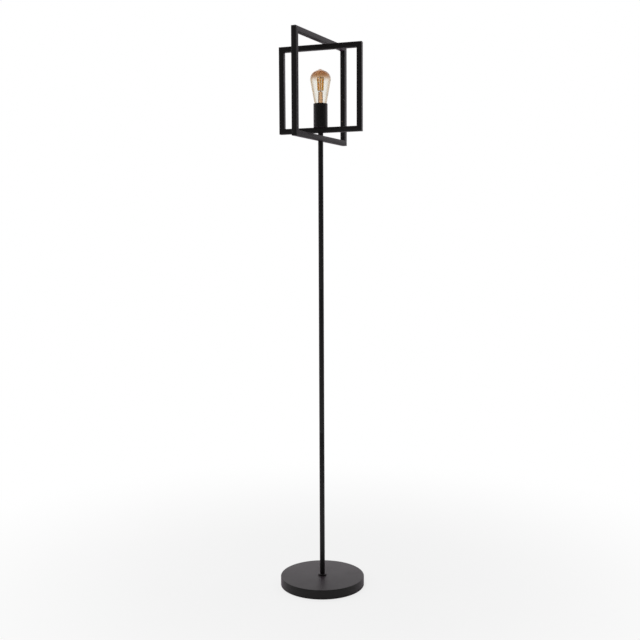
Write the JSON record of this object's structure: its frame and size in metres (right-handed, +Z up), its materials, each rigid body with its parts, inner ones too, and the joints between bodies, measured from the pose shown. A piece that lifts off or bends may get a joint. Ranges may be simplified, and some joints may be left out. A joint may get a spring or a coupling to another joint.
{
  "type": "floor lamp",
  "caption": "Slim floor lamp with a weighted round base, a straight pole, nested square wire frames that swivel, and an exposed amber filament bulb.",
  "frame": {"origin": "centre of the base on the floor", "axes": "+Z up along the pole; +Y towards the back, where the cord gland is; the picture looks along +Y"},
  "size_m": [0.25, 0.2794, 1.615],
  "materials": {
    "powder_coat": "fine-textured satin black powder coat",
    "cast_iron": "bare grey casting with an oiled face",
    "zinc_steel": "bright zinc plate",
    "galvanised_sheet": "galvanised sheet",
    "foam_pad": "matt closed-cell EVA foam",
    "gland_nylon": "black moulded nylon",
    "flex_sheath": "black PVC sheath",
    "core_brown": "brown PVC",
    "core_blue": "blue PVC",
    "core_earth": "green and yellow PVC",
    "porcelain": "glazed white porcelain",
    "brass": "stamped brass",
    "nickel_cap": "rolled brass cap, lightly tarnished",
    "cap_glass": "fused black glass",
    "solder": "tinned contact",
    "amber_glass": "clear glass with an amber tint",
    "stem_glass": "clear lead-free stem glass",
    "filament_coating": "golden phosphor coating",
    "nickel_wire": "nickel wire"
  },
  "bodies": {
    "stand": {"base_cover": "powder_coat", "base_weight": "cast_iron", "bottom_plate": "galvanised_sheet", "plate_screws": "zinc_steel", "base_pad": "foam_pad", "cord_gland": "gland_nylon", "foot_collar": "powder_coat", "foot_nipple": "zinc_steel", "joint_nipples": "zinc_steel", "cage_nipple": "zinc_steel", "lock_nuts": "zinc_steel", "lock_washers": "zinc_steel", "penny_washer": "zinc_steel", "pole_lower": "powder_coat", "pole_middle": "powder_coat", "pole_upper": "powder_coat", "pole_bushes": "zinc_steel", "frame_spacer": "powder_coat", "holder_cup": "powder_coat", "earth_tag": "brass", "holder_bracket": "zinc_steel", "bracket_screws": "zinc_steel", "lampholder_body": "porcelain", "screw_shell": "brass", "centre_contact": "brass", "terminal_screws": "brass", "internal_flex": "flex_sheath", "live_core": "core_brown", "neutral_core": "core_blue", "earth_core": "core_earth"},
    "outer_frame": {"outer_frame_bottom_rail": "powder_coat", "outer_frame_right_post": "powder_coat", "outer_frame_top_rail": "powder_coat", "outer_frame_left_post": "powder_coat"},
    "inner_frame": {"inner_frame_bottom_rail": "powder_coat", "inner_frame_right_post": "powder_coat", "inner_frame_top_rail": "powder_coat", "inner_frame_left_post": "powder_coat"},
    "bulb": {"bulb_glass": "amber_glass", "bulb_cap": "nickel_cap", "cap_insulator": "cap_glass", "cap_contact": "solder", "bulb_stem": "stem_glass", "filaments": "filament_coating", "support_wires": "nickel_wire"}
  },
  "joints": [
    {"name": "outer_frame_swivel", "type": "hinge", "parent": "stand", "child": "outer_frame", "pos_m": [0, 0, 1.3265], "axis": [0, 0, 1], "continuous": true},
    {"name": "inner_frame_swivel", "type": "hinge", "parent": "stand", "child": "inner_frame", "pos_m": [0, 0, 1.3495], "axis": [0, 0, 1], "continuous": true},
    {"name": "bulb_lift", "type": "slide", "parent": "stand", "child": "bulb", "axis": [0, 0, 1], "range_m": [0, 0.05]}
  ]
}
